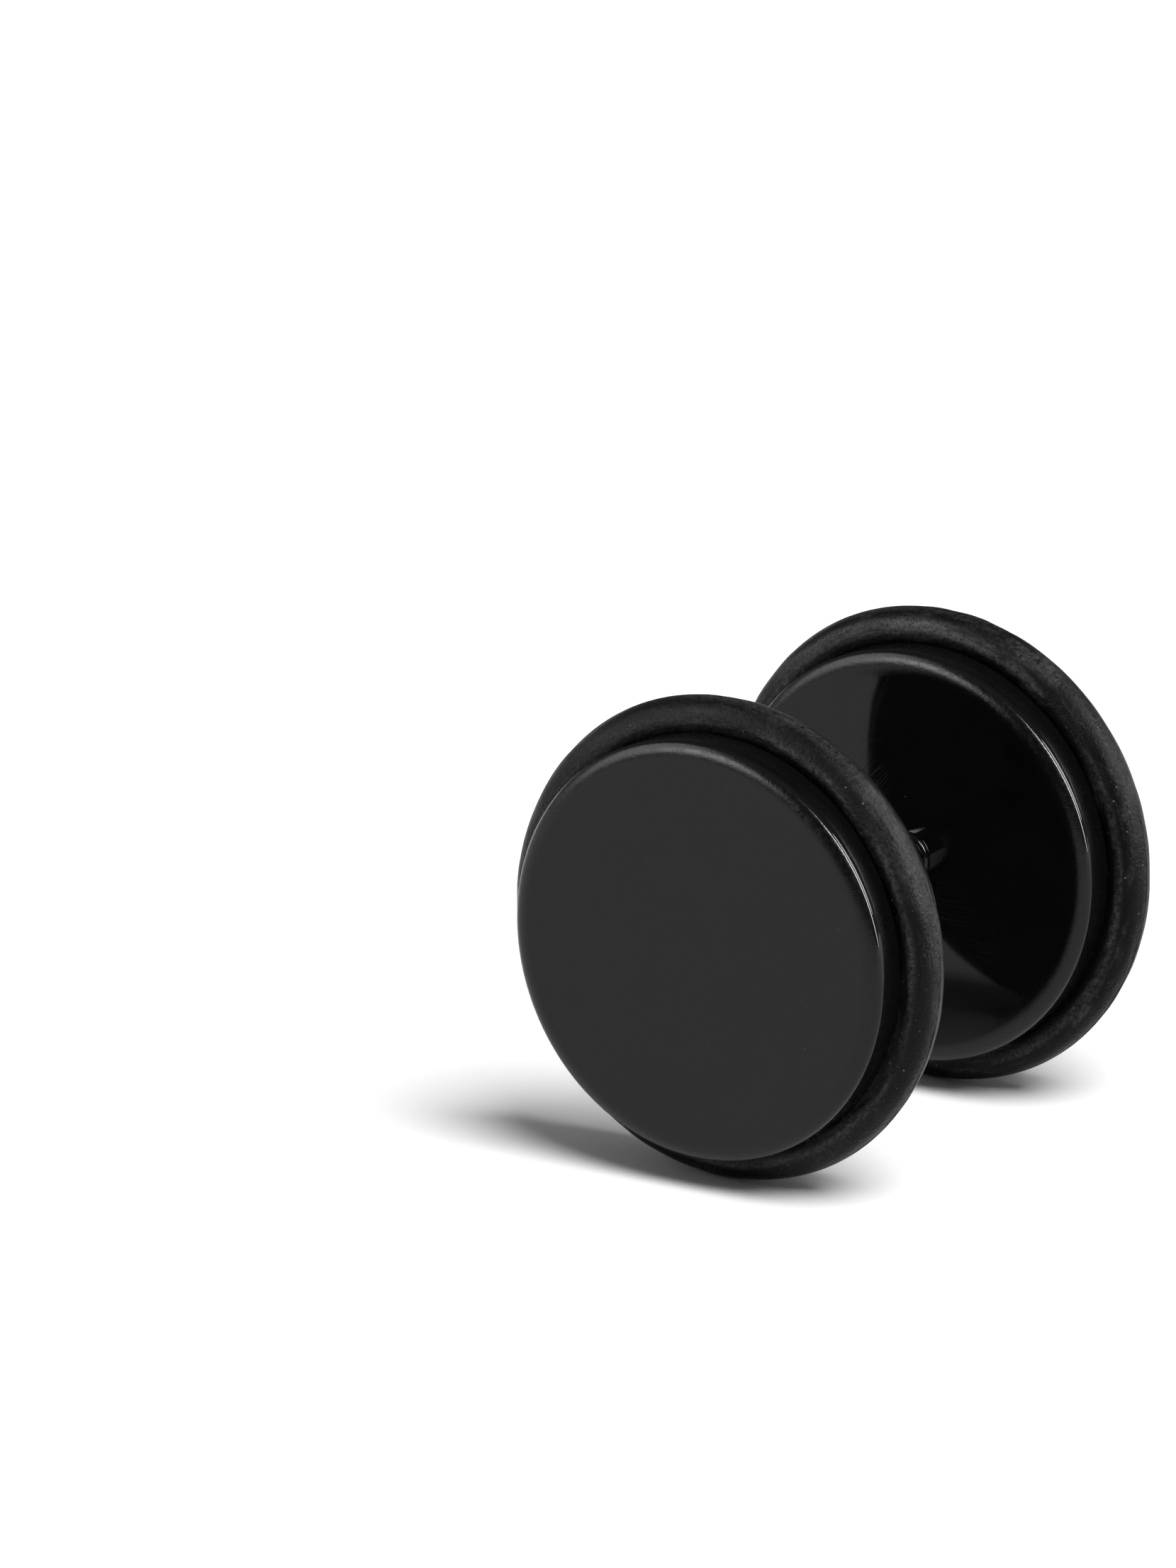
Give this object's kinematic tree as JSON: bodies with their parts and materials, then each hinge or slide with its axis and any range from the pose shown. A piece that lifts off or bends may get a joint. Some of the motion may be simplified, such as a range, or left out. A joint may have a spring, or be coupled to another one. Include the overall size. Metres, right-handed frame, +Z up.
{
  "type": "illusion plug earring",
  "caption": "Spool-shaped stud earring: flat round discs on a thin post that passes through the lobe, each disc with a rubber ring round its edge. The back disc comes off.",
  "frame": {"origin": "on the surface that the part lies on, under the middle of the post, midway between the discs", "axes": "+Y along the post from the worn face to the back, +Z up, +X across the discs"},
  "size_m": [0.0116, 0.0122, 0.0116],
  "materials": {
    "black_disc": "polished black",
    "rubber": "satin black rubber",
    "steel": "polished steel"
  },
  "bodies": {
    "front_end": {"front_disc": "black_disc", "front_o_ring": "rubber", "post": "steel"},
    "back_end": {"back_disc": "black_disc", "back_o_ring": "rubber"}
  },
  "joints": [
    {"name": "back_disc_off", "type": "slide", "parent": "front_end", "child": "back_end", "axis": [0, 1, 0], "range_m": [0, 0.008]}
  ]
}
